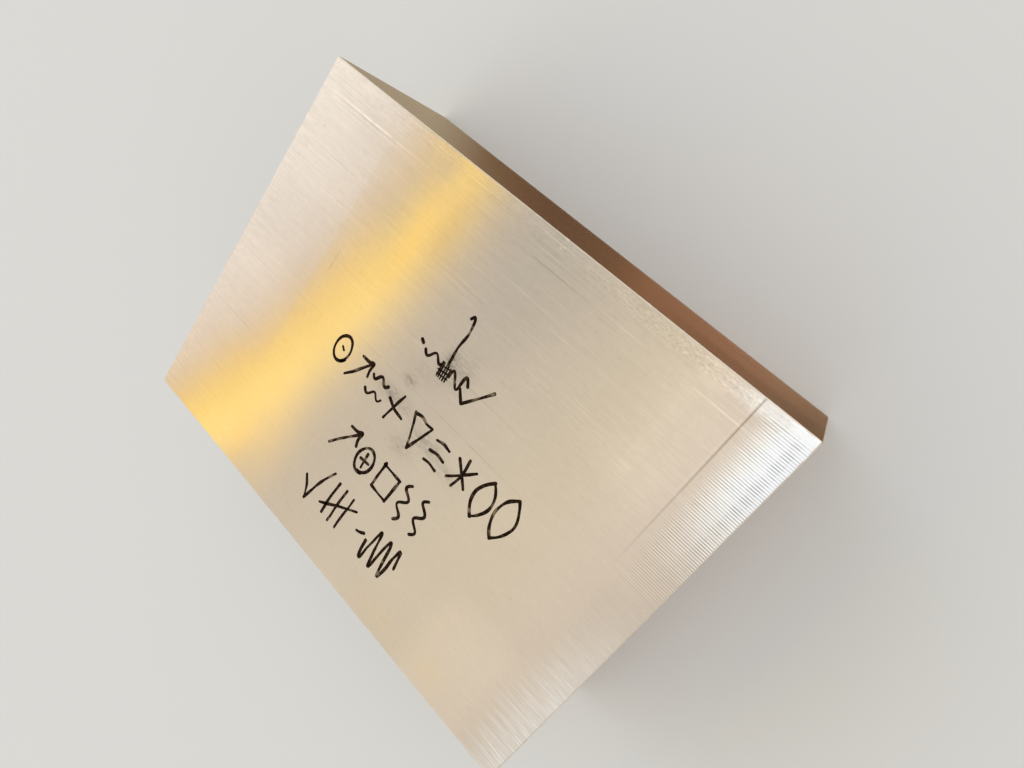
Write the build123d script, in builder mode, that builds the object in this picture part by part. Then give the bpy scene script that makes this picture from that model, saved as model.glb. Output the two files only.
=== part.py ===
from build123d import *
import os

# A thick steel plate, sawn to size from stainless stock: one solid block.
# Lengths are in millimetres. The origin is the middle of the underside, with +X
# along the length, +Y across the width and +Z up.

# Size of the block
length = 240.0
width = 180.0
thickness = 88.0

# Width of the narrow bevel filed on every edge
edge_break = 0.4

# The land: the shallow step that the saw left across the top at the +X end. It is
# deepest along the +Y side and runs out to nothing on its way across the width.
land_length = 21.0
land_depth = 0.20
land_run = 100.0

# The saw's chatter: V-shaped furrows along the length, side by side over the land.
# Their height dies away together with the land.
chatter_pitch = 1.0
chatter_height = 0.10

# How far the cut for the land reaches past the block's faces
overrun = 1.0


def land_profile():
    """Floor of the land across the block: (distance from the middle, height) from +Y inward."""
    side = width / 2
    furrows = max(1, int(land_run / chatter_pitch))
    floor = [(side + overrun, thickness - land_depth)]
    for furrow in range(furrows):
        crest_at = furrow * chatter_pitch
        valley_at = crest_at + chatter_pitch / 2
        crest_depth = (land_depth - chatter_height) * (1 - crest_at / land_run)
        valley_depth = land_depth * (1 - valley_at / land_run)
        floor.append((side - crest_at, thickness - crest_depth))
        floor.append((side - valley_at, thickness - valley_depth))
    floor.append((side - land_run, thickness))
    return floor


with BuildPart() as steel_plate:
    # The sawn block, standing on its underside
    with BuildSketch(Plane.XY):
        Rectangle(length, width)
    extrude(amount=thickness)
    chamfer(steel_plate.edges(), edge_break)

    # The land with its furrows, cut from the +X end as far as the step line
    with BuildSketch(Plane.YZ.offset(length / 2)):
        with BuildLine():
            floor = land_profile()
            first_y, last_y = floor[0][0], floor[-1][0]
            above = thickness + overrun
            Polyline(*floor, (last_y, above), (first_y, above), close=True)
        make_face()
    extrude(amount=-land_length, mode=Mode.SUBTRACT)

steel_plate.part.label = "steel_plate"

os.makedirs("parts", exist_ok=True)
export_step(steel_plate.part, "parts/steel_plate.step")
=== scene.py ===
import math

import bmesh
import bpy
import numpy as np
from mathutils import Euler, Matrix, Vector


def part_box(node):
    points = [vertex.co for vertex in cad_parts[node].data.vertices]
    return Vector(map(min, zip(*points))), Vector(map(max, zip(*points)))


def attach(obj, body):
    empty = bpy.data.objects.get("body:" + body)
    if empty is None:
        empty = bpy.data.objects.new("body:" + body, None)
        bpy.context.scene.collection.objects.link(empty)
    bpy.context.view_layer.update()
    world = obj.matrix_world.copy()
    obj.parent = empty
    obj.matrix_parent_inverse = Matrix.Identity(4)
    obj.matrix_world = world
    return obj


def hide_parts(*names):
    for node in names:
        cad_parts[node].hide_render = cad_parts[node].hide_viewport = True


# The look of a thick sawn steel plate. Lengths are in metres, in the frame of the packed
# model: +X along the plate, +Y across it, +Z up, and the origin under its middle. Places on
# the top are given in millimetres along from the -X end and across from the +Y side.

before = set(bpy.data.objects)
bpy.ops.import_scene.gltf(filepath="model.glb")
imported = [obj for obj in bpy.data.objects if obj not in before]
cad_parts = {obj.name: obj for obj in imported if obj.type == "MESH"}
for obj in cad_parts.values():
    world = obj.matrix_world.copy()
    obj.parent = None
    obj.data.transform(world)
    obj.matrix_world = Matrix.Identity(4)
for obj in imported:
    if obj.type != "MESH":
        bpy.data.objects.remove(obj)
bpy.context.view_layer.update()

MM = 0.001

# The plate's faces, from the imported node
plate_low, plate_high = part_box("steel_plate")
HALF_LENGTH = (plate_high.x - plate_low.x) / 2
HALF_WIDTH = (plate_high.y - plate_low.y) / 2
TOP = plate_high.z

# The camera, as fitted to the plate's corners in the photograph. Its turn is in degrees.
PICTURE_WIDTH = 1024
PICTURE_HEIGHT = 768
FOCAL_PIXELS = 689.1
AXIS_PIXEL = (475.8, 378.3)
SENSOR = 36.0
CAMERA_AT = (105.7 * MM, 115.2 * MM, 321.7 * MM)
CAMERA_TURN = (-2.462, 28.095, 39.331)

# What the steel mirrors: the room's tone by direction along the plate, first towards the
# +Y side and then towards the far one
CEILING_NEAR = (
    (-0.72, (1.50, 1.60, 1.75)),
    (-0.61, (1.15, 1.30, 1.55)),
    (-0.57, (0.60, 0.70, 0.90)),
    (-0.45, (0.50, 0.60, 0.80)),
    (-0.35, (0.50, 0.55, 0.60)),
    (-0.15, (1.05, 1.05, 1.00)),
    (-0.05, (1.30, 1.30, 1.35)),
    (0.10, (0.90, 0.95, 1.05)),
)
CEILING_FAR = (
    (-0.72, (1.35, 1.45, 1.60)),
    (-0.60, (1.35, 1.25, 1.20)),
    (-0.57, (1.05, 0.85, 0.70)),
    (-0.45, (1.15, 1.10, 1.00)),
    (-0.30, (1.20, 1.20, 1.15)),
    (-0.15, (1.00, 1.00, 0.90)),
    (0.05, (0.85, 0.85, 0.85)),
)

# The +X end of the room, alike on both sides. It is dim where the step at the land mirrors it.
CEILING_END = (
    (0.30, (0.80, 0.80, 0.75)),
    (0.45, (0.60, 0.55, 0.50)),
    (0.70, (0.60, 0.55, 0.50)),
    (0.85, (0.95, 0.95, 0.95)),
)
CEILING_PEAK = 1.8

# Directions across the plate between which the far side's tones turn into the near one's
CEILING_TURN = (-0.9, 0.3)

# A warm lamp in that ceiling, orange at one side and yellow at the other: direction along
# the plate, reach, and its tone towards the +Y side and the far one
LAMP = (
    (-0.548, 0.021, (1.05, 0.77, 0.20), (1.80, 1.26, 0.12)),
    (-0.508, 0.028, (1.62, 1.26, 0.38), (2.40, 2.00, 0.62)),
)

# The room's tone low down, and the directions upward between which it turns into the ceiling
HORIZON = (0.95, 0.95, 0.95, 1)
HORIZON_UP = (0.08, 0.28)

FLOOR = (0.74, 0.735, 0.72)
FLOOR_SIZE = 30

# A brown card on the floor along the +Y side, which shows only in what mirrors it: its colour
# by place along the plate, its reach, and its gap to the plate and over the floor
CARD = (
    (-0.300, (0.48, 0.42, 0.31)),
    (-0.128, (0.49, 0.44, 0.32)),
    (-0.104, (0.34, 0.27, 0.18)),
    (-0.085, (0.20, 0.115, 0.052)),
    (-0.060, (0.17, 0.072, 0.024)),
    (-0.040, (0.14, 0.058, 0.020)),
    (0.000, (0.19, 0.085, 0.030)),
    (0.025, (0.33, 0.150, 0.066)),
    (0.080, (0.32, 0.155, 0.080)),
    (0.100, (0.28, 0.155, 0.082)),
    (0.116, (0.22, 0.125, 0.062)),
    (0.300, (0.22, 0.125, 0.062)),
)
CARD_REACH = 0.5
CARD_GAP = 0.5 * MM

# The filed bevel on every edge, how uneven it is along the top as a share of its width, and
# the margin that the top's grid leaves for it
EDGE_BREAK = 0.4 * MM
EDGE_UNEVEN = 0.3
EDGE_MARGIN = 1.2 * MM

# Nicks in the top's +Y edge: place along and reach to either side
NICKS = ((32, 1.2), (41, 0.8), (49, 1.6), (134, 1.0), (172, 0.7), (186, 0.9))
NICK_DEPTH = 0.3 * MM

# The land that the saw left at the +X end, with its chatter. That sets in a little way from
# the +Y side, and goes on beside the land at a share of its height.
LAND_LENGTH = 21.0 * MM
LAND_DEPTH = 0.145 * MM
LAND_RUN = 80.0 * MM
STEP_WIDTH = 0.6 * MM
CHATTER_PITCH = 1.0 * MM
CHATTER_HEIGHT = 0.045 * MM
CHATTER_START = (3 * MM, 8 * MM)
CHATTER_RUN = 95.0 * MM
CHATTER_BESIDE = 0.15

# Spacing of the mesh: along and across the top, over the land, along the top's edges and on
# the sides, and the number of rings down the sides
GRID_ALONG = 4 * MM
GRID_ACROSS = 0.25 * MM
GRID_LAND = 1.5 * MM
GRID_EDGE = 0.5 * MM
GRID_SIDE = 8 * MM
SIDE_RINGS = 12

# The steel's colours: the top; its white sheen, a painted highlight; the sides, darker and
# browner than the top in part as a painted reflection; and the filed edges, brighter in part as
# a painted highlight along them. The noise of those edges, and how much it changes them.
STEEL = (0.66, 0.55, 0.43)
PAINTED_SHEEN = (0.97, 0.945, 0.88)
SIDE_STEEL_AND_REFLECTION = (0.54, 0.42, 0.31)
EDGE_STEEL_AND_HIGHLIGHT = (0.76, 0.67, 0.54)
EDGE_NOISE = ((400, 400, 400), 3.0)
EDGE_SPREAD = 0.4
SHARP_DEGREES = 30

# Fine grain of the top, and broad clouds: blobs a metre along and across, detail and depth
GRAIN = (
    ((26, 1500), 1.0, 0.100),
    ((10, 330), 2.0, 0.045),
    ((130, 600), 2.0, 0.080),
    ((330, 380), 2.0, 0.060),
)
CLOUDS = ((26, 40), 3.0, 0.075)

# How strong the grain is: everywhere, and on the worn part of the top besides. The places are
# in millimetres, from where the worn or the still rougher part begins to where it is in full.
PLAIN_GRAIN = 0.5
WORN_GRAIN = 0.6
WORN_ACROSS = (100, 45)
WORN_ALONG = (75, 30)
ROUGH_ACROSS = (13, 3)
ROUGH_ALONG = (14, 4)

# The lines along a side and an end: blobs a metre along, across and up, then the shares of
# that in which they come, each with its detail and depth
SIDE_SCALES = (16, 1500, 1500)
END_SCALES = (16, 16, 1500)
SIDE_GRAIN = (
    (1.0, 1.0, 0.38),
    (0.4, 1.0, 0.30),
    (0.16, 2.0, 0.20),
    (0.05, 3.0, 0.10),
)

# Sparse bright dashes, and tiny bright and dark specks: blobs a metre, the levels of noise
# that are none and all of one, and depth
DASHES = ((45, 1500, 1), (0.72, 0.82), 0.0)
DASH_DEPTH = 0.07
SPECKS = (480, 700, 1)
SPECK_LEVELS = (0.72, 0.80)
SPECK_DEPTH = 0.045

# Crumbled metal beside the +Y side: blobs a metre, detail and roughness, depth, from and to
# across with the softness of either end, where it grows to all of it from a share, and where
# it is halved
CRUMBS = ((560, 1300, 1), 2.0, 0.7)
CRUMB_DEPTH = 0.80
CRUMB_BAND = ((1, 6.5), (1, 4))
CRUMB_GROWTH = (120, 200)
CRUMB_SHARE = 0.3
CRUMB_HALVED = (218, 224)

# Areas that are a little lighter or darker: from and to along, from and to across, softness
# and change of tone
TONES = (
    (0, 46, 50, 90, 14, -0.035),
    (-20, 52, -9, 5, 6, 0.020),
    (108, 165, -9, 5, 6, 0.050),
    (190, 222, 6, 55, 14, 0.045),
    (198, 208, -5, 9, 6, 0.080),
    (182, 222, 134, 190, 16, 0.070),
    (222, 231, 84, 112, 12, -0.045),
    # Brightens the painted sheen in the near corner of the +X end: a painted highlight
    (231, 244, -6, 24, 6, 0.085),
    (197.5, 203, 10, 60, 2.5, 0.020),
    (217.8, 218.7, -5, 42, 0.8, 0.045),
    (46.2, 46.9, 14, 50, 0.8, -0.020),
)

# Tinted spots: place along and across, reach both ways, and change of red, green and blue.
# Those from 58 to 91 along shift the hue of the lamp's mirror image: a painted reflection.
TINTS_AND_REFLECTION_HUES = (
    (68, 14, 8, 12, (-0.08, -0.04, 0.10)),
    (76, 6, 6, 10, (-0.12, -0.08, 0.16)),
    (65, 35, 9, 17, (-0.10, -0.05, 0.14)),
    (80, 42, 6, 20, (0.05, 0.00, -0.14)),
    (91, 26, 7, 20, (-0.06, -0.10, -0.16)),
    (74, 156, 13, 26, (0.13, 0.07, -0.08)),
    (58, 166, 6, 14, (0.07, 0.00, -0.12)),
    (196, 169, 9, 6, (0.03, 0.00, -0.06)),
    (163, 171, 11, 5, (0.03, 0.00, -0.05)),
)

# A slight tilt of the top beside the lamp's mirror image, which ends sharply: from and to
# along, how soft either end is, from and to across, softness and slope
TILT = (12, 46.3, (30, 0.7), 20, 130, 16, -0.006)

# Patches of fine lines a furrow's pitch apart, painted glints that lighten their crests: from and
# to along and across, and change of tone, and how soft their edges are
LINED_GLINTS = (
    (4, 30, 86, 101, 0.055),
    (2, 26, 8, 22, 0.040),
    (74, 100, 58, 112, 0.040),
    (104, 124, 20, 40, 0.020),
    (197.5, 203.5, 12, 50, 0.060),
    (207, 218, 14, 66, 0.050),
)
LINED_GLINT_FADE = 5

# The furrows' tone, painted light and shade: how far they sway, where a furrow's width is a full
# turn, how ragged they are and how narrow their hollows and crests, where they set in along the
# land, where they set in and fade out across it, what shifts their ends and how far, and how
# dark the painted shade in their hollows and how bright the painted glint on their crests is.
# Places are in millimetres.
SWAY_SCALES = (80, 60, 1)
SWAY = 0.9
RAGGED = ((70, 600, 1), (0.34, 0.60))
HOLLOW_POWER = 3.0
CREST_POWER = 2.5
FURROWS_ALONG = (222, 228)
FURROWS_IN = (2, 7)
FURROWS_OUT = (95, 50)
FURROW_ENDS = ((15, 700, 1), 1.0)
FURROW_SHIFT = 3.0
FURROW_DEPTH = 0.44
FURROW_GLINT = 0.34

# Short dark dashes at their ends, more painted shade in their hollows: from and to along, the
# softness of either end, where they fade in across, and depth
FURROW_DASHES = ((235.5, 239), (1.2, 0.8))
FURROW_DASHES_IN = (75, 25)
FURROW_DASH_DEPTH = 0.30

# Painted white sheen at the +X end, a painted highlight, in millimetres along and then across,
# from none to all of it: in the corner beside the +Y side, in the far corner, and on the rim
# along the +Y side
PAINTED_SHEEN_NEAR = ((219, 233), (74, 18))
PAINTED_SHEEN_FAR = ((228, 249), (80, 138))
PAINTED_SHEEN_RIM = ((202, 232), (8, 4))
PAINTED_SHEEN_RIM_SHARE = 0.8

# The streaks of the painted sheen in the far corner: their noise, least strength and what they
# add to it, and what shifts their ends and how far
PAINTED_SHEEN_STREAKS = ((70, 1700, 1), (0.46, 0.72), 1.0)
STREAK_LEAST = 0.34
STREAK_MORE = 0.42
STREAK_ENDS = ((12, 800, 1), 2.0)
STREAK_SHIFT = 18.0

# How a side's tone changes: paler towards the base in the half towards +X, a painted
# reflection of light from below, darker from and to close under the top, and a little darker in
# a patch of its upper half near the +X end
SIDE_PAINTED_REFLECTION = 0.35
SIDE_UNDER = -0.22
SIDE_UNDER_REACH = (3.0 * MM, 0.5 * MM)
SIDE_PATCH = -0.12
SIDE_PATCH_ALONG = ((62 * MM, 116 * MM), (30 * MM, 10 * MM))
SIDE_PATCH_UP = (0.45 * TOP, 0.85 * TOP)

# How scratches and smears break up: blobs a metre, and the levels of noise that are none and
# all of one, then detail and roughness
SCRATCH_BREAKS = ((170, 900, 1), (0.30, 0.55))
SMEARS = ((260, 800, 1), (0.30, 0.64), 4.0, 0.7)

# Scratches along the saw lines: start, end, place across, width and change of tone. The lighter
# lines are partly painted highlights and the darker ones partly painted shade on a scratch's
# flanks, and the lighter ones at the +X end from 86 across on are streaks of the painted sheen.
SCRATCHES_WITH_PAINTED_LIGHT = (
    (2, 70, 12.3, 0.36, 0.34),
    (8, 50, 13.2, 0.30, -0.18),
    (10, 60, 14.1, 0.28, 0.10),
    (4, 40, 15.0, 0.26, -0.08),
    (6, 44, 2.2, 0.28, 0.07),
    (22, 60, 3.4, 0.24, -0.08),
    (10, 50, 4.6, 0.24, 0.07),
    (-8, 30, 6.6, 0.25, -0.09),
    (6, 40, 8.4, 0.25, 0.06),
    (12, 44, 10.4, 0.24, -0.07),
    (3, 33, 15.8, 0.26, 0.12),
    (2, 22, 14.6, 0.24, 0.12),
    (5, 26, 10.9, 0.24, -0.12),
    (2, 40, 9.3, 0.24, -0.10),
    (26, 60, 7.4, 0.24, 0.09),
    (2, 30, 17.6, 0.24, 0.06),
    (18, 40, 21.2, 0.24, 0.06),
    (24, 40, 31.6, 0.26, 0.07),
    (8, 52, 34.4, 0.28, -0.13),
    (8, 44, 35.2, 0.26, 0.08),
    (54, 78, 34.0, 0.26, -0.07),
    (0, 16, 36.2, 0.25, -0.08),
    (-8, 24, 43.6, 0.28, -0.12),
    (-4, 22, 42.7, 0.24, 0.06),
    (24, 50, 47.4, 0.25, -0.08),
    (20, 54, 48.3, 0.26, 0.10),
    (56, 80, 39.4, 0.25, -0.07),
    (82, 126, 12.5, 0.26, -0.09),
    (112, 162, 12.7, 0.32, -0.17),
    (124, 158, 12.0, 0.26, 0.07),
    (158, 184, 12.2, 0.28, 0.12),
    (84, 108, 6.2, 0.28, -0.08),
    (150, 176, 14.4, 0.26, -0.07),
    (123, 146, 22.4, 0.26, -0.07),
    (150, 190, 20.6, 0.26, -0.06),
    (150, 176, 22.8, 0.24, -0.05),
    (118, 205, 26.3, 0.28, -0.09),
    (112, 178, 25.5, 0.26, 0.07),
    (88, 126, 38.6, 0.25, -0.07),
    (96, 136, 22.4, 0.25, -0.05),
    (150, 205, 43.8, 0.32, 0.07),
    (156, 190, 47.2, 0.30, -0.07),
    (158, 182, 49.0, 0.28, -0.06),
    (140, 176, 46.0, 0.28, 0.05),
    (192, 236, 12.3, 0.32, 0.20),
    (72, 128, 47.6, 0.30, -0.06),
    (-4, 40, 93.4, 0.25, -0.08),
    (-2, 44, 122.4, 0.30, -0.13),
    (0, 40, 123.3, 0.26, 0.08),
    (10, 36, 108.6, 0.25, -0.06),
    (6, 30, 112.0, 0.25, 0.06),
    (4, 26, 140.5, 0.25, -0.05),
    (84, 176, 67.5, 0.26, -0.17),
    (110, 190, 84.8, 0.24, -0.19),
    (66, 130, 85.2, 0.22, -0.12),
    (60, 92, 101.5, 0.25, -0.05),
    (90, 110, 127.0, 0.25, -0.05),
    (219, 240, 1.6, 0.22, -0.10),
    (217, 242, 3.0, 0.24, -0.20),
    (216, 240, 4.5, 0.24, -0.24),
    (220, 242, 6.2, 0.24, -0.16),
    (219, 238, 8.2, 0.24, -0.12),
    (196, 219, 3.6, 0.24, -0.10),
    (200, 219, 5.4, 0.24, 0.08),
    (230, 242, 86.5, 0.24, 0.08),
    (224, 239, 102.6, 0.24, 0.10),
    (224, 243, 115.2, 0.26, 0.17),
    (228, 241, 126.4, 0.24, 0.10),
    (229, 243, 136.0, 0.24, 0.12),
    (222, 242, 139.6, 0.26, 0.14),
    (223, 239, 149.0, 0.24, 0.10),
    (223, 242, 169.0, 0.26, 0.14),
)

# Small pits and chips: place along and across, size and change of tone, and the share of
# their size that they have across
PIT_ACROSS = 0.8
PITS = (
    (12.0, 26.5, 0.55, -0.22),
    (17.5, 41.5, 0.45, -0.18),
    (41.5, 9.0, 0.35, -0.12),
    (62.0, 53.0, 0.50, -0.10),
    (5.0, 117.5, 0.40, -0.15),
    (201.0, 118.0, 0.50, -0.18),
    (166.0, 115.0, 0.45, -0.12),
    (146.0, 158.0, 0.40, -0.10),
    (133.0, 4.2, 0.50, 0.25),
    (134.2, 3.2, 0.40, 0.20),
)

# Rubbed ink and grease: place along and across, reach both ways, and depth
SMUDGES = (
    (124.0, 66.5, 3.0, 6.0, 0.62),
    (130.5, 65.0, 5.5, 7.0, 0.24),
    (114.0, 83.0, 3.0, 2.2, 0.50),
    (117.0, 76.0, 9.0, 5.0, 0.12),
    (112.0, 93.0, 10.0, 3.0, 0.42),
    (136.0, 98.0, 9.0, 3.6, 0.34),
    (127.0, 107.0, 6.0, 4.5, 0.24),
    (150.0, 101.0, 7.0, 3.0, 0.22),
    (52.0, 68.0, 0.4, 7.0, 0.22),
)

# Marker ink: its colour where it is full, thin and rubbed, and the noise of the last two
INK = (0.012, 0.005, 0.002, 1)
THIN_INK = (0.075, 0.042, 0.020, 1)
RUBBED_INK = (0.22, 0.16, 0.10, 1)
INK_THINS = ((350, 900, 1), (0.45, 0.78), 3.0, 0.6)
INK_RUBS = ((160, 200, 1), (0.57, 0.70), 2.0)

# A ring's sweep round, a little more than full, its number of points, and the shares of its
# size with which it starts and ends
RING_SWEEP = 2.14 * math.pi
RING_POINTS = 24
RING_DRIFT = (1.05, 0.95)

# A stroke: its width and how uneven that is, the steps along it, and how far the hand shakes,
# with the lengths over which both change
STROKE_WIDTH = 1.35 * MM
STROKE_UNEVEN = 0.24
STROKE_UNEVEN_LENGTH = 4 * MM
STROKE_STEP = 0.4 * MM
STROKE_SHAKE = 0.22 * MM
STROKE_SHAKE_LENGTH = 5 * MM

# The ink's film. Strokes that follow each other differ in thickness, so that no two that
# cross share a surface. Its section: shares of the half width across and of the thickness.
FILM = 0.02 * MM
FILM_DIFFERENCE = 0.04
FILM_ACROSS = (-1.0, -0.7, 0.7, 1.0)
FILM_UP = (0.1, 1.0, 1.0, 0.1)


def on_top(along, across):
    """The x and y of a place on the top."""
    return along * MM - HALF_LENGTH, HALF_WIDTH - across * MM


# Camera, light and floor


def make_camera():
    """The photograph's viewpoint: a wide lens close above the plate."""
    data = bpy.data.cameras.new("camera")
    data.sensor_width = SENSOR
    data.lens = FOCAL_PIXELS * SENSOR / PICTURE_WIDTH
    data.shift_x = (PICTURE_WIDTH / 2 - AXIS_PIXEL[0]) / PICTURE_WIDTH
    data.shift_y = (AXIS_PIXEL[1] - PICTURE_HEIGHT / 2) / PICTURE_WIDTH
    data.clip_start = 10 * MM
    camera = bpy.data.objects.new("camera", data)
    camera.location = CAMERA_AT
    camera.rotation_euler = Euler([math.radians(a) for a in CAMERA_TURN])
    bpy.context.scene.collection.objects.link(camera)
    bpy.context.scene.camera = camera


class Graph:
    """Short calls for the nodes of a material or a world. A value is a number, a tuple or a socket."""

    def __init__(self, tree):
        self.tree = tree

    def node(self, kind, **settings):
        made = self.tree.nodes.new("ShaderNode" + kind)
        for name, value in settings.items():
            setattr(made, name, value)
        return made

    def put(self, socket, value):
        if isinstance(value, bpy.types.NodeSocket):
            self.tree.links.new(value, socket)
        else:
            socket.default_value = value

    def fill(self, node, *values):
        for socket, value in zip(node.inputs, values):
            self.put(socket, value)
        return node

    def math(self, operation, *values):
        return self.fill(self.node("Math", operation=operation), *values).outputs[0]

    def vector(self, operation, *values):
        return self.fill(self.node("VectorMath", operation=operation), *values).outputs[0]

    def scaled(self, colour, amount):
        made = self.node("VectorMath", operation="SCALE")
        self.put(made.inputs[0], colour)
        self.put(made.inputs["Scale"], amount)
        return made.outputs[0]

    def parts(self, vector):
        return self.fill(self.node("SeparateXYZ"), vector).outputs

    def mix(self, share, one, other):
        made = self.node("Mix", data_type="RGBA")
        self.put(made.inputs[0], share)
        self.put(made.inputs[6], one)
        self.put(made.inputs[7], other)
        return made.outputs[2]

    def between(self, value, low, high):
        """0 at low, 1 at high and clamped beyond, with a smooth change between."""
        made = self.node("MapRange", interpolation_type="SMOOTHSTEP")
        return self.fill(made, value, low, high, 0.0, 1.0).outputs[0]

    def patch(self, value, reach, soft):
        """1 from the reach's start to its end, with a change that wide at each."""
        rise = self.between(value, reach[0] - soft[0] / 2, reach[0] + soft[0] / 2)
        fall = self.between(value, reach[1] + soft[1] / 2, reach[1] - soft[1] / 2)
        return self.math("MULTIPLY", rise, fall)

    def ramp(self, value, stops, low, high, peak=1.0):
        """Colour of the stops at value, which runs from low to high. No stop is brighter than peak."""
        share = self.math("DIVIDE", self.math("SUBTRACT", value, low), high - low)
        made = self.fill(self.node("ValToRGB"), share)
        elements = made.color_ramp.elements
        elements.remove(elements[-1])
        for number, (place, colour) in enumerate(stops):
            element = elements[0] if number == 0 else elements.new(1.0)
            element.position = (place - low) / (high - low)
            element.color = (*(c / peak for c in colour), 1)
        return self.scaled(made.outputs[0], peak)

    def noise(self, place, scales, detail=2.0, roughness=0.5):
        """Noise from 0 to 1. scales is how many blobs a metre holds along X, Y and Z."""
        made = self.node("TexNoise")
        self.put(made.inputs["Vector"], self.vector("MULTIPLY", place, scales))
        self.put(made.inputs["Scale"], 1.0)
        self.put(made.inputs["Detail"], detail)
        self.put(made.inputs["Roughness"], roughness)
        return made.outputs[0]

    def blotches(self, place, scales, levels, detail=2.0, roughness=0.5):
        """Noise that is 0 up to the first level and 1 from the second on."""
        return self.between(self.noise(place, scales, detail, roughness), *levels)

    def vary(self, shade, amount, change):
        """The shade, with that share of itself added where amount is 1."""
        return self.math("MULTIPLY", shade, self.math("MULTIPLY_ADD", amount, change, 1.0))

    def bell(self, value, centre, reach):
        """1 at the centre, fading out over the reach to both sides."""
        away = self.math("MULTIPLY_ADD", value, 1 / reach, -centre / reach)
        return self.math("POWER", math.exp(-1), self.math("MULTIPLY", away, away))

    def spot(self, place, centre, reach):
        """A soft spot: 1 at its centre, fading out over its reach along X and Y."""
        shrink = (1 / reach[0], 1 / reach[1], 0)
        shift = (-centre[0] / reach[0], -centre[1] / reach[1], 0)
        away = self.vector("MULTIPLY_ADD", place, shrink, shift)
        far = self.fill(self.node("VectorMath", operation="DOT_PRODUCT"), away, away)
        return self.math("POWER", math.exp(-1), far.outputs["Value"])


def make_world():
    """A soft pale room. The camera sees white, and all else is lit by the ceiling's tones."""
    world = bpy.data.worlds.new("studio")
    bpy.context.scene.world = world
    world.use_nodes = True
    graph = Graph(world.node_tree)
    along, across, up = graph.parts(graph.node("TexCoord").outputs["Generated"])
    near = graph.ramp(along, CEILING_NEAR + CEILING_END, -1, 1, CEILING_PEAK)
    far = graph.ramp(along, CEILING_FAR + CEILING_END, -1, 1, CEILING_PEAK)
    for centre, reach, near_tone, far_tone in LAMP:
        glow = graph.bell(along, centre, reach)
        near = graph.mix(glow, near, (*near_tone, 1))
        far = graph.mix(glow, far, (*far_tone, 1))
    ceiling = graph.mix(graph.between(across, *CEILING_TURN), far, near)
    room = graph.mix(graph.between(up, *HORIZON_UP), HORIZON, ceiling)
    seen = graph.node("LightPath").outputs["Is Camera Ray"]
    background = world.node_tree.nodes["Background"]
    graph.put(background.inputs["Color"], graph.mix(seen, room, (1, 1, 1, 1)))


def make_floor():
    """A plain pale floor, and the brown card on it."""
    bpy.ops.mesh.primitive_plane_add(size=FLOOR_SIZE)
    floor = bpy.context.object
    floor.name = "floor"
    material = bpy.data.materials.new("floor")
    material.use_nodes = True
    shader = material.node_tree.nodes["Principled BSDF"]
    shader.inputs["Base Color"].default_value = (*FLOOR, 1)
    shader.inputs["Roughness"].default_value = 0.9
    floor.data.materials.append(material)

    low, high = CARD[0][0], CARD[-1][0]
    start = HALF_WIDTH + CARD_GAP
    corners = [(low, start), (high, start), (high, start + CARD_REACH), (low, start + CARD_REACH)]
    data = bpy.data.meshes.new("card")
    data.from_pydata([(x, y, CARD_GAP) for x, y in corners], [], [(0, 1, 2, 3)])
    card = bpy.data.objects.new("card", data)
    bpy.context.scene.collection.objects.link(card)
    card.visible_camera = False
    card.visible_diffuse = False
    card.visible_shadow = False
    material = bpy.data.materials.new("card")
    material.use_nodes = True
    graph = Graph(material.node_tree)
    along = graph.parts(graph.node("TexCoord").outputs["Object"])[0]
    shader = material.node_tree.nodes["Principled BSDF"]
    shader.inputs["Base Color"].default_value = (0, 0, 0, 1)
    shader.inputs["Specular IOR Level"].default_value = 0
    graph.put(shader.inputs["Emission Color"], graph.ramp(along, CARD, low, high))
    shader.inputs["Emission Strength"].default_value = 1.0
    data.materials.append(material)


# The plate's shape

SIDES = [("x", -1), ("x", 1), ("y", -1), ("y", 1)]
KINDS = ("top", "side", "end", "edge")
KNOTS = 4096


def smooth_step(low, high, values):
    """0 below low, 1 above high, and a smooth rise between."""
    share = np.clip((values - low) / (high - low), 0, 1)
    return share * share * (3 - 2 * share)


def wander(places, length, seed):
    """Smooth random numbers from -1 to 1, that change over about that length, at places above -1."""
    knots = np.random.default_rng(seed).uniform(-1, 1, KNOTS)
    spots = (np.asarray(places) + 1) / length
    index = spots.astype(int)
    share = smooth_step(0, 1, spots - index)
    return knots[index % KNOTS] * (1 - share) + knots[(index + 1) % KNOTS] * share


def relief(x, y):
    """Height of the top's saw marks over the CAD's top face, never above it."""
    from_end = HALF_LENGTH - x
    from_side = HALF_WIDTH - y
    on_land = 1 - smooth_step(LAND_LENGTH - STEP_WIDTH, LAND_LENGTH, from_end)
    beside = 1 - smooth_step(LAND_LENGTH, 2 * LAND_LENGTH, from_end)
    land = -LAND_DEPTH * np.clip(1 - from_side / LAND_RUN, 0, 1) * on_land
    strength = np.clip(1 - from_side / CHATTER_RUN, 0, 1) * smooth_step(*CHATTER_START, from_side)
    strength = strength * (on_land + CHATTER_BESIDE * beside)
    ripple = 0.5 * np.cos(2 * math.pi * from_side / CHATTER_PITCH) - 0.5
    return land + CHATTER_HEIGHT * strength * ripple


def bevel(places, side):
    """Width of the filed bevel at places along the top's edge on one side."""
    width = EDGE_BREAK * (1 + EDGE_UNEVEN * wander(places, 3 * MM, SIDES.index(side)))
    if side == ("y", 1):
        for along, reach in NICKS:
            width += NICK_DEPTH * np.exp(-(((places - on_top(along, 0)[0]) / (reach * MM)) ** 2))
    return width


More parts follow.
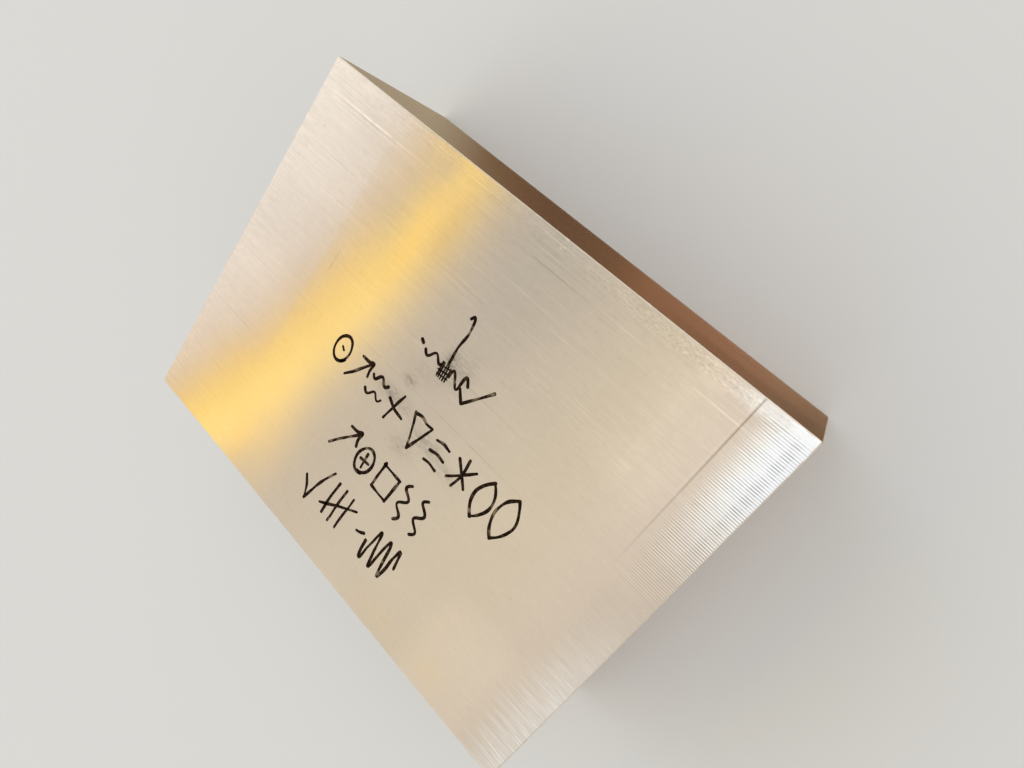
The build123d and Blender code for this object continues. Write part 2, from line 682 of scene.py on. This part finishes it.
class Shell:
    """Points and faces of one closed mesh, built up row by row."""

    def __init__(self):
        self.points = []
        self.faces = []
        self.kinds = []

    def row(self, x, y, z):
        """Adds a row of points and returns their numbers."""
        x, y, z = np.broadcast_arrays(x, y, z)
        first = len(self.points)
        self.points.extend(zip(x.ravel().tolist(), y.ravel().tolist(), z.ravel().tolist()))
        return list(range(first, len(self.points)))

    def face(self, kind, *corners):
        """Adds a face. Corners that fall together count once."""
        self.faces.append(tuple(dict.fromkeys(corners)))
        self.kinds.append(KINDS.index(kind))

    def stitch(self, kind, one, other, axis):
        """Joins two rows that run the same way along that axis, square by square or fanwise."""
        if len(one) == len(other):
            for a, b, c, d in zip(one, one[1:], other[1:], other):
                self.face(kind, a, b, c, d)
            return
        here = [self.points[p][axis] for p in one] + [math.inf]
        there = [self.points[p][axis] for p in other] + [math.inf]
        i = j = 0
        while i < len(one) - 1 or j < len(other) - 1:
            if here[i + 1] <= there[j + 1]:
                self.face(kind, one[i], one[i + 1], other[j])
                i += 1
            else:
                self.face(kind, one[i], other[j + 1], other[j])
                j += 1

    def join_rings(self, upper, lower, edge):
        """Joins two rings round the plate, each with a row for every side."""
        for axis, sign in SIDES:
            kind = "edge" if edge else ("end" if axis == "x" else "side")
            self.stitch(kind, upper[axis, sign], lower[axis, sign], 1 if axis == "x" else 0)
        for x in (-1, 1):
            for y in (-1, 1):
                by_x, by_y = min(x, 0) + 1, min(y, 0) + 1
                ends = [(("x", x), -by_y), (("y", y), -by_x)]
                corners = [upper[side][end] for side, end in ends]
                corners += [lower[side][end] for side, end in reversed(ends)]
                self.face("edge", *corners)

    def mesh(self, name):
        """The mesh, with its faces turned outward."""
        data = bpy.data.meshes.new(name)
        data.from_pydata(self.points, [], self.faces)
        data.polygons.foreach_set("material_index", self.kinds)
        work = bmesh.new()
        work.from_mesh(data)
        bmesh.ops.recalc_face_normals(work, faces=work.faces)
        work.to_mesh(data)
        work.free()
        data.shade_smooth()
        return data


def spaced(reach, step, marks=()):
    """Positions from -reach to reach about a step apart, with extra ones at the marks."""
    count = round(2 * reach / step) + 1
    spots = np.concatenate([np.linspace(-reach, reach, count), marks])
    spots = np.unique(np.round(spots, 6))
    return spots[np.abs(spots) < reach + 0.5e-6]


def add_top(shell):
    """The top's grid with its saw marks, as rows of points across the plate, and its lines across."""
    step_at = HALF_LENGTH - LAND_LENGTH
    marks = [step_at + share * STEP_WIDTH for share in (-0.5, 0, 0.33, 0.67, 1, 1.5)]
    marks += list(np.arange(step_at, HALF_LENGTH, GRID_LAND))
    lines_x = spaced(HALF_LENGTH - EDGE_MARGIN, GRID_ALONG, marks)
    lines_y = spaced(HALF_WIDTH - EDGE_MARGIN, GRID_ACROSS)
    top = [shell.row(x, lines_y, TOP + relief(x, lines_y)) for x in lines_x]
    for one, other in zip(top, top[1:]):
        shell.stitch("top", one, other, 1)
    return top, lines_y


def add_bevel(shell, dense_x, dense_y):
    """The rim of the top, which the bevel leaves, and the ring where the bevel ends."""
    rim = {}
    edge = {}

    # At the ends the bevel reaches below the land where it is deepest
    for sign in (-1, 1):
        inset = bevel(dense_y, ("x", sign))
        x = sign * (HALF_LENGTH - inset)
        corners = shell.row(x[[0, -1]], dense_y[[0, -1]], TOP)
        middle = shell.row(x[1:-1], dense_y[1:-1], TOP + relief(x, dense_y)[1:-1])
        rim["x", sign] = [corners[0], *middle, corners[1]]
        edge["x", sign] = shell.row(sign * HALF_LENGTH, dense_y, TOP - LAND_DEPTH - inset)
    for sign in (-1, 1):
        inset = bevel(dense_x, ("y", sign))
        y = sign * (HALF_WIDTH - inset)
        end = min(sign, 0) + 1
        middle = shell.row(dense_x[1:-1], y[1:-1], TOP + relief(dense_x, y)[1:-1])
        rim["y", sign] = [rim["x", -1][-end], *middle, rim["x", 1][-end]]
        edge["y", sign] = shell.row(dense_x, sign * HALF_WIDTH, TOP - inset)
    return rim, edge


def add_sides(shell, upper, inner_x, inner_y):
    """The sides, in coarse rings below the upper one, and the base, which closes the last."""
    coarse_x = spaced(inner_x, GRID_SIDE)
    coarse_y = spaced(inner_y, GRID_SIDE)
    for height in np.linspace(TOP - 4 * EDGE_BREAK, EDGE_BREAK, SIDE_RINGS):
        lower = {("x", sign): shell.row(sign * HALF_LENGTH, coarse_y, height) for sign in (-1, 1)}
        lower.update({("y", sign): shell.row(coarse_x, sign * HALF_WIDTH, height) for sign in (-1, 1)})
        shell.join_rings(upper, lower, False)
        upper = lower
    base = [shell.row(x, coarse_y, 0.0) for x in coarse_x]
    for one, other in zip(base, base[1:]):
        shell.stitch("side", one, other, 1)
    last = {
        ("x", -1): base[0],
        ("x", 1): base[-1],
        ("y", -1): [row[0] for row in base],
        ("y", 1): [row[-1] for row in base],
    }
    shell.join_rings(upper, last, True)


def build_plate():
    """The whole plate as one closed mesh: top with its saw marks, broken edges, sides and base."""
    shell = Shell()
    top, lines_y = add_top(shell)
    inner_x = HALF_LENGTH - EDGE_BREAK
    inner_y = HALF_WIDTH - EDGE_BREAK
    dense_y = np.concatenate([[-inner_y], lines_y, [inner_y]])
    rim, edge = add_bevel(shell, spaced(inner_x, GRID_EDGE), dense_y)
    for row, side in ((top[0], ("x", -1)), (top[-1], ("x", 1))):
        shell.stitch("top", row, rim[side], 1)
    for end, side in ((0, ("y", -1)), (-1, ("y", 1))):
        shell.stitch("top", [row[end] for row in top], rim[side], 0)
    shell.join_rings(rim, edge, True)
    add_sides(shell, edge, inner_x, inner_y)
    return shell.mesh("steel_plate_body")


# Steel


def add_grain_map(data):
    """U runs across the saw lines on each face, the way its highlights stretch."""
    layer = data.uv_layers.new(name="grain")
    uv = np.zeros((len(data.loops), 2))
    facing = 0.8
    for face in data.polygons:
        for loop in face.loop_indices:
            x, y, z = data.vertices[data.loops[loop].vertex_index].co
            if abs(face.normal.z) > facing:
                uv[loop] = (y, x)
            elif abs(face.normal.y) > facing:
                uv[loop] = (z, x)
            else:
                uv[loop] = (z, y)
    layer.data.foreach_set("uv", uv.ravel())


def steel_shader(name, roughness, anisotropic):
    """A metal whose highlights stretch across the saw lines: its material, graph and shader."""
    material = bpy.data.materials.new(name)
    material.use_nodes = True
    graph = Graph(material.node_tree)
    shader = material.node_tree.nodes["Principled BSDF"]
    shader.inputs["Metallic"].default_value = 1
    shader.inputs["Roughness"].default_value = roughness
    shader.inputs["Anisotropic"].default_value = anisotropic
    tangent = graph.node("Tangent", direction_type="UV_MAP", uv_map="grain")
    graph.put(shader.inputs["Tangent"], tangent.outputs[0])
    return material, graph, shader


def area(graph, along, across, start, end, top, bottom, soft):
    """1 inside an area of the top and 0 outside it, with soft edges."""
    column = graph.patch(along, (start, end), (soft, soft))
    return graph.math("MULTIPLY", column, graph.patch(across, (top, bottom), (soft, soft)))


def rise(graph, along, across, rises):
    """1 where the rises along and across are both over, and 0 where either hasn't begun."""
    return graph.math("MULTIPLY", graph.between(along, *rises[0]), graph.between(across, *rises[1]))


def saw_grain(graph, place, along, across):
    """Tone of the fine lines along the top: strong towards the -X end and the +Y side."""
    worn = graph.math("MAXIMUM", graph.between(across, *WORN_ACROSS), graph.between(along, *WORN_ALONG))
    rough = graph.math("MAXIMUM", graph.between(across, *ROUGH_ACROSS), graph.between(along, *ROUGH_ALONG))
    strength = graph.math("ADD", graph.math("MULTIPLY_ADD", worn, WORN_GRAIN, PLAIN_GRAIN), rough)
    grain = 0.0
    for scales, detail, depth in GRAIN:
        value = graph.math("SUBTRACT", graph.noise(place, (*scales, 1), detail), 0.5)
        grain = graph.math("MULTIPLY_ADD", value, depth, grain)
    grain = graph.math("MULTIPLY_ADD", graph.blotches(place, *DASHES), DASH_DEPTH, grain)
    shade = graph.math("MULTIPLY_ADD", grain, strength, 1.0)
    speck = graph.noise(place, SPECKS, 0.0)
    bright = graph.between(speck, *SPECK_LEVELS)
    dark = graph.between(speck, *(1 - level for level in SPECK_LEVELS))
    shade = graph.math("MULTIPLY_ADD", graph.math("SUBTRACT", bright, dark), SPECK_DEPTH, shade)
    scales, detail, depth = CLOUDS
    cloud = graph.math("SUBTRACT", graph.noise(place, (*scales, 1), detail), 0.5)
    shade = graph.math("MULTIPLY_ADD", cloud, depth, shade)
    for *edges, change in TONES:
        shade = graph.math("MULTIPLY_ADD", area(graph, along, across, *edges), change, shade)

    # Crumbled metal beside the +Y side, most of all towards the +X end
    growth = graph.between(along, *CRUMB_GROWTH)
    rim = graph.math("MULTIPLY_ADD", growth, 1 - CRUMB_SHARE, CRUMB_SHARE)
    rim = graph.math("MULTIPLY", rim, graph.patch(across, *CRUMB_BAND))
    rim = graph.vary(rim, graph.between(along, *CRUMB_HALVED), -0.5)
    crumbs = graph.math("SUBTRACT", graph.noise(place, *CRUMBS), 0.5)
    return graph.math("MULTIPLY_ADD", graph.math("MULTIPLY", rim, crumbs), CRUMB_DEPTH, shade)


def wear(graph, place, shade):
    """The shade with the scratches, partly painted highlights and shade, and with the pits and rubbed
    spots of the top.
    """
    uneven = graph.blotches(place, *SCRATCH_BREAKS)
    # Scratches: lines of tone, partly painted highlight and shade
    for start, end, side, width, change in SCRATCHES_WITH_PAINTED_LIGHT:
        centre = on_top((start + end) / 2, side)
        line = graph.spot(place, centre, ((end - start) / 3 * MM, width * MM))
        shade = graph.math("MULTIPLY_ADD", graph.math("MULTIPLY", line, uneven), change, shade)
    for spot_along, spot_across, size, change in PITS:
        pit = graph.spot(place, on_top(spot_along, spot_across), (size * MM, size * PIT_ACROSS * MM))
        shade = graph.math("MULTIPLY_ADD", pit, change, shade)
    smear = graph.blotches(place, *SMEARS)
    for spot_along, spot_across, wide, tall, depth in SMUDGES:
        rubbed = graph.spot(place, on_top(spot_along, spot_across), (wide * MM, tall * MM))
        shade = graph.vary(shade, graph.math("MULTIPLY", rubbed, smear), -depth)
    return shade


def chatter(graph, place, along, across, shade):
    """The shade with the land's furrows painted in as shade in their hollows and glints on their crests,
    and with painted glints on fine lines in a few patches.
    """
    sway = graph.math("MULTIPLY_ADD", graph.noise(place, SWAY_SCALES), 2 * SWAY, -SWAY)
    turn = graph.math("MULTIPLY_ADD", across, 2 * math.pi * MM / CHATTER_PITCH, sway)
    hollow = graph.math("MULTIPLY_ADD", graph.math("COSINE", turn), -0.5, 0.5)
    crest = graph.math("POWER", graph.math("SUBTRACT", 1.0, hollow), CREST_POWER)
    ragged = graph.blotches(place, *RAGGED)
    # Painted glints on the crests of the fine lines
    for *edges, change in LINED_GLINTS:
        glint_lines = graph.math("MULTIPLY", area(graph, along, across, *edges, LINED_GLINT_FADE), crest)
        shade = graph.math("MULTIPLY_ADD", graph.math("MULTIPLY", glint_lines, ragged), change, shade)

    # Painted shade in the hollows and glints on the crests, deepest at the plate's end, where the furrows
    # near the corner stop as short dark dashes
    reach = graph.math("MULTIPLY", graph.between(across, *FURROWS_IN), graph.between(across, *FURROWS_OUT))
    reach = graph.math("MULTIPLY", reach, graph.math("MULTIPLY_ADD", ragged, 0.5, 0.5))
    shift = graph.math("MULTIPLY_ADD", graph.noise(place, *FURROW_ENDS), FURROW_SHIFT, along)
    furrows = graph.between(shift, *FURROWS_ALONG)
    dash = graph.patch(shift, *FURROW_DASHES)
    dash = graph.math("MULTIPLY", dash, graph.between(across, *FURROW_DASHES_IN))
    depth = graph.math("MULTIPLY", furrows, FURROW_DEPTH)
    depth = graph.math("MULTIPLY_ADD", dash, FURROW_DASH_DEPTH, depth)
    hollow = graph.math("POWER", hollow, HOLLOW_POWER)
    hollow_shade = graph.math("MULTIPLY", graph.math("MULTIPLY", reach, depth), hollow)
    glint = graph.math("MULTIPLY", graph.math("MULTIPLY", reach, furrows), crest)
    change = graph.math("MULTIPLY_ADD", glint, FURROW_GLINT, graph.math("SUBTRACT", 1.0, hollow_shade))
    return graph.math("MULTIPLY", shade, change)


def painted_land_sheen(graph, place, along, across):
    """Painted white sheen, a painted highlight, in both corners of the +X end: even beside the +Y side,
    streaky in the far one.
    """
    near = rise(graph, along, across, PAINTED_SHEEN_NEAR)
    sheen_streaks = graph.math("MULTIPLY_ADD", graph.blotches(place, *PAINTED_SHEEN_STREAKS), STREAK_MORE, STREAK_LEAST)
    start = graph.math("MULTIPLY_ADD", graph.noise(place, *STREAK_ENDS), STREAK_SHIFT, along)
    far = graph.math("MULTIPLY", rise(graph, start, across, PAINTED_SHEEN_FAR), sheen_streaks)
    rim = graph.math("MULTIPLY", rise(graph, along, across, PAINTED_SHEEN_RIM), PAINTED_SHEEN_RIM_SHARE)
    return graph.math("MAXIMUM", graph.math("ADD", near, far), rim)


def top_normal(graph, along, across):
    """The top's normal, with its slight tilt."""
    start, end, ends, top, bottom, soft, slope = TILT
    tilted = graph.patch(along, (start, end), ends)
    tilted = graph.math("MULTIPLY", tilted, graph.patch(across, (top, bottom), (soft, soft)))
    lean = graph.fill(graph.node("CombineXYZ"), graph.math("MULTIPLY", tilted, slope)).outputs[0]
    return graph.vector("ADD", graph.node("NewGeometry").outputs["Normal"], lean)


def top_steel():
    """The sawn top: warm grey steel with fine lines along the length."""
    material, graph, shader = steel_shader("sawn_top", roughness=0.28, anisotropic=1.0)
    place = graph.node("TexCoord").outputs["Object"]
    x, y, _ = graph.parts(place)
    along = graph.math("MULTIPLY_ADD", x, 1 / MM, HALF_LENGTH / MM)
    across = graph.math("MULTIPLY_ADD", y, -1 / MM, HALF_WIDTH / MM)
    shade = saw_grain(graph, place, along, across)
    shade = wear(graph, place, shade)
    shade = chatter(graph, place, along, across, shade)
    # Painted white sheen: a painted highlight mixed into the steel's colour
    colour = graph.mix(painted_land_sheen(graph, place, along, across), (*STEEL, 1), (*PAINTED_SHEEN, 1))
    # Tinted spots; those by the lamp's mirror image are a painted reflection
    tint_and_reflection = (1.0, 1.0, 1.0)
    for spot_along, spot_across, wide, tall, change in TINTS_AND_REFLECTION_HUES:
        spot = graph.spot(place, on_top(spot_along, spot_across), (wide * MM, tall * MM))
        tint_and_reflection = graph.vector("MULTIPLY_ADD", spot, change, tint_and_reflection)
    colour = graph.vector("MULTIPLY", colour, tint_and_reflection)
    graph.put(shader.inputs["Base Color"], graph.scaled(colour, shade))
    graph.put(shader.inputs["Normal"], top_normal(graph, along, across))
    return material


def side_steel(name, scales):
    """A sawn side: darker and browner than the top, in part a painted reflection, with lines along it."""
    material, graph, shader = steel_shader(name, roughness=0.24, anisotropic=0.95)
    place = graph.node("TexCoord").outputs["Object"]
    x, _, z = graph.parts(place)
    shade = 1.0
    for factor, detail, depth in SIDE_GRAIN:
        value = graph.noise(place, tuple(s * factor for s in scales), detail)
        shade = graph.math("MULTIPLY_ADD", graph.math("SUBTRACT", value, 0.5), depth, shade)

    # Paler towards the base in the half towards +X, a painted reflection, and darker above
    lower = graph.math("MULTIPLY", graph.between(z, TOP, 0.1 * TOP), graph.between(x, 0, HALF_LENGTH))
    under = graph.between(z, *(TOP - down for down in SIDE_UNDER_REACH))
    patch = graph.math("MULTIPLY", graph.between(z, *SIDE_PATCH_UP), graph.patch(x, *SIDE_PATCH_ALONG))
    for amount, change in ((lower, SIDE_PAINTED_REFLECTION), (under, SIDE_UNDER), (patch, SIDE_PATCH)):
        shade = graph.vary(shade, amount, change)
    # The side's darker brown is in part a painted reflection
    graph.put(shader.inputs["Base Color"], graph.scaled(SIDE_STEEL_AND_REFLECTION, shade))
    return material


def edge_steel():
    """The filed edges: bare, and a little brighter as a painted highlight along them."""
    material, graph, shader = steel_shader("filed_edge_highlight", roughness=0.3, anisotropic=0.0)
    place = graph.node("TexCoord").outputs["Object"]
    shade = graph.math("MULTIPLY_ADD", graph.noise(place, *EDGE_NOISE), EDGE_SPREAD, 1 - EDGE_SPREAD / 2)
    # Brighter than the top: a painted highlight along the edges
    graph.put(shader.inputs["Base Color"], graph.scaled(EDGE_STEEL_AND_HIGHLIGHT, shade))
    return material


def put_piece(name, data):
    """Links a mesh as a piece of the plate."""
    piece = bpy.data.objects.new(name, data)
    bpy.context.scene.collection.objects.link(piece)
    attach(piece, "root")
    return piece


def dress_plate():
    """Puts the plate's mesh in the scene, each face with the steel of its side."""
    data = build_plate()
    add_grain_map(data)
    data.materials.append(top_steel())
    data.materials.append(side_steel("sawn_side", SIDE_SCALES))
    data.materials.append(side_steel("sawn_end", END_SCALES))
    data.materials.append(edge_steel())
    data.set_sharp_from_angle(angle=math.radians(SHARP_DEGREES))
    plate = put_piece("steel_plate_body", data)
    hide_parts("steel_plate")


# Marker strokes: plain workshop signs, drawn as thin films of ink


def ring(along, across, wide, tall, start=0.6):
    """A hand-drawn oval about a middle, whose ends overlap a little."""
    turns = np.linspace(start, start + RING_SWEEP, RING_POINTS)
    drift = np.linspace(*RING_DRIFT, RING_POINTS)
    return [
        (along + wide / 2 * share * math.cos(turn), across + tall / 2 * share * math.sin(turn))
        for turn, share in zip(turns, drift)
    ]


def wave(start, end, size, count):
    """A wavy line from start to end, with so many waves of that height to each side."""
    start, end = np.array(start), np.array(end)
    aside = np.array([start[1] - end[1], end[0] - start[0]]) / np.linalg.norm(end - start)
    line = []
    for share in np.linspace(0, 1, round(10 * count)):
        swing = size * math.sin(2 * math.pi * count * share)
        line.append(tuple(start + (end - start) * share + aside * swing))
    return line


def path(*corners):
    """A line through corners that stay sharp, as one stroke for each straight part."""
    return [list(pair) for pair in zip(corners, corners[1:])]


def leaf(along, across, wide, tall):
    """A leaf about a middle, pointed at both ends, as a stroke for each side."""
    turns = np.linspace(-1, 1, 9)
    return [
        [(along + side * wide / 2 * (1 - t * t), across + tall / 2 * t) for t in turns]
        for side in (-1, 1)
    ]


def hatch(along, across, step, count, size):
    """Short tilted strokes side by side."""
    starts = [along + number * step for number in range(count)]
    return [[(start, across), (start + size[0], across + size[1])] for start in starts]


# The rows of signs, from the scribble nearest the +Y side
MARKS = {
    "marker_scribble": (
        [(120.4, 46.2), (121.4, 44.8), (122.6, 46.8), (123.3, 52.0), (123.0, 60.0), (123.6, 66.0)],
        [(108.2, 66.4), (109.4, 67.1)],
        wave((111.8, 68.4), (122.0, 67.2), 1.6, 1.5),
        wave((126.8, 70.4), (136.0, 67.6), -3.2, 1.5),
        [(133.6, 70.2), (135.6, 72.6), (137.4, 74.6)],
        [(137.4, 74.6), (140.6, 70.4), (146.4, 62.0)],
    ),
    "marker_hatch": (
        *hatch(121.2, 67.0, 1.15, 5, (0.7, 6.2)),
        [(120.9, 68.6), (126.3, 67.8)],
        [(121.2, 70.6), (126.6, 69.8)],
        [(121.6, 72.4), (126.8, 71.8)],
    ),
    "marker_row_one": (
        ring(79.4, 94.4, 8.4, 12.0),
        [(78.6, 93.8), (80.0, 94.8)],
        [(86.6, 102.6), (90.2, 97.6), (95.8, 89.4)],
        [(90.0, 90.4), (93.4, 90.2), (96.0, 89.2), (96.0, 92.6), (96.6, 95.6)],
        wave((98.4, 92.6), (107.6, 92.0), 1.4, 1.5),
        wave((98.8, 100.0), (108.2, 99.2), 1.4, 1.5),
        [(116.4, 89.4), (115.0, 96.4), (113.4, 103.4)],
        [(110.8, 95.0), (115.4, 97.0), (120.8, 98.2)],
        [(124.4, 91.0), (127.8, 90.4), (131.4, 91.4), (134.6, 91.2)],
        [(124.4, 91.0), (126.8, 97.6), (130.0, 105.4)],
        [(134.6, 91.2), (132.6, 98.0), (130.0, 105.4)],
        [(138.8, 93.0), (142.2, 92.2), (145.8, 92.8)],
        [(138.6, 98.2), (142.4, 97.6), (146.2, 98.2)],
        [(139.0, 103.4), (142.2, 102.8), (145.6, 103.4)],
        [(155.2, 89.2), (155.8, 96.0), (154.8, 102.8)],
        [(151.2, 91.6), (155.8, 96.2), (159.8, 100.2)],
        [(160.4, 91.2), (155.4, 96.4), (150.8, 101.4)],
        *leaf(168.4, 97.2, 8.6, 17.6),
        *leaf(179.8, 96.4, 9.8, 20.4),
    ),
    "marker_row_two": (
        [(98.6, 131.0), (103.6, 124.4), (109.8, 116.6)],
        [(104.0, 117.6), (107.4, 117.4), (110.0, 116.2), (110.0, 119.6), (110.8, 122.6)],
        ring(118.0, 124.4, 8.8, 12.6, 1.2),
        [(115.6, 124.6), (120.4, 124.2)],
        [(117.8, 121.0), (118.2, 128.0)],
        *path((126.6, 118.0), (136.4, 118.6), (135.8, 130.8), (126.8, 130.0), (127.0, 117.4)),
        wave((142.0, 115.6), (143.6, 133.0), 1.9, 2.0),
        wave((151.6, 115.0), (153.2, 132.4), 1.9, 2.0),
    ),
    "marker_row_three": (
        [(98.8, 151.0), (101.6, 155.4), (103.4, 160.4)],
        [(103.4, 160.4), (106.2, 149.6), (110.2, 139.6)],
        [(115.0, 141.4), (114.4, 150.0), (114.8, 158.4)],
        [(119.8, 141.0), (119.4, 150.0), (119.6, 159.0)],
        [(124.6, 141.6), (124.2, 150.0), (124.4, 158.6)],
        [(111.4, 155.6), (119.6, 150.2), (128.6, 144.6)],
        [(133.6, 150.6), (135.4, 150.0), (137.0, 149.0)],
        wave((139.6, 150.4), (157.2, 149.6), 8.6, 3.0),
    ),
}

# The signs that a thinner line draws: its share of the pen's width
THIN_MARKS = {"marker_hatch": 0.55}


def rounded(points):
    """A smooth line through the points, as closely spaced points."""
    points = np.array(points)
    ends = np.vstack([2 * points[0] - points[1], points, 2 * points[-1] - points[-2]])
    line = []
    for a, b, c, d in zip(ends, ends[1:], ends[2:], ends[3:]):
        count = max(2, round(float(np.linalg.norm(c - b)) / STROKE_STEP))
        for share in np.arange(count) / count:
            curve = 2 * b + (c - a) * share + (2 * a - 5 * b + 4 * c - d) * share**2
            line.append((curve + (3 * b - a - 3 * c + d) * share**3) / 2)
    line.append(points[-1])
    return np.array(line)


def add_stroke(shell, points, seed, pen=1.0):
    """One pen stroke: a low ribbon with round ends, shaky and slightly uneven in width."""
    line = rounded([on_top(*point) for point in points])
    walked = np.concatenate([[0], np.cumsum(np.linalg.norm(np.diff(line, axis=0), axis=1))])
    shake = [wander(walked, STROKE_SHAKE_LENGTH, seed + number) for number in (0, 1)]
    line = line + STROKE_SHAKE * np.stack(shake, 1)
    forward = np.gradient(line, axis=0)
    forward /= np.linalg.norm(forward, axis=1)[:, None]
    uneven = wander(walked, STROKE_UNEVEN_LENGTH, seed + 2)
    half = pen * STROKE_WIDTH / 2 * (1 + STROKE_UNEVEN * uneven)

    # Rows across the ribbon: place, direction and half width, with narrow ones for the ends
    caps = [(math.sqrt(1 - share * share), share) for share in np.sin(np.linspace(0.3, 1.3, 4))]
    rows = [(line[0] - forward[0] * half[0] * out, forward[0], half[0] * share) for out, share in caps]
    rows += zip(line[1:-1], forward[1:-1], half[1:-1])
    for out, share in reversed(caps):
        rows.append((line[-1] + forward[-1] * half[-1] * out, forward[-1], half[-1] * share))
    film = FILM * (1 + FILM_DIFFERENCE * (seed % 9)) * np.array(FILM_UP)
    last = None
    for middle, ahead, width in rows:
        aside = np.array([-ahead[1], ahead[0]]) * width
        spots = np.array([middle + aside * share for share in FILM_ACROSS])
        height = TOP + relief(spots[:, 0], spots[:, 1]) + film
        row = shell.row(spots[:, 0], spots[:, 1], height)
        if last is None:
            shell.face("top", *row)
        else:
            for a, b, c, d in zip(last, last[1:] + last[:1], row[1:] + row[:1], row):
                shell.face("top", a, b, c, d)
        last = row
    shell.face("top", *last)


def ink_material():
    """Dry black marker ink, browner where it is thin."""
    material = bpy.data.materials.new("marker_ink")
    material.use_nodes = True
    graph = Graph(material.node_tree)
    shader = material.node_tree.nodes["Principled BSDF"]
    place = graph.node("TexCoord").outputs["Object"]
    thin = graph.mix(graph.blotches(place, *INK_THINS), INK, THIN_INK)
    ink = graph.mix(graph.blotches(place, *INK_RUBS), thin, RUBBED_INK)
    graph.put(shader.inputs["Base Color"], ink)
    shader.inputs["Specular IOR Level"].default_value = 0.04
    shader.inputs["Roughness"].default_value = 0.6
    return material


def draw_marks():
    """The rows of signs on the top, one piece each."""
    ink = ink_material()
    seed = 100
    for name, strokes in MARKS.items():
        shell = Shell()
        for points in strokes:
            seed += 3
            add_stroke(shell, points, seed, THIN_MARKS.get(name, 1.0))
        data = shell.mesh(name)
        data.materials.append(ink)
        put_piece(name, data)


make_camera()
make_world()
make_floor()
dress_plate()
draw_marks()

bpy.context.scene.view_settings.view_transform = "Standard"
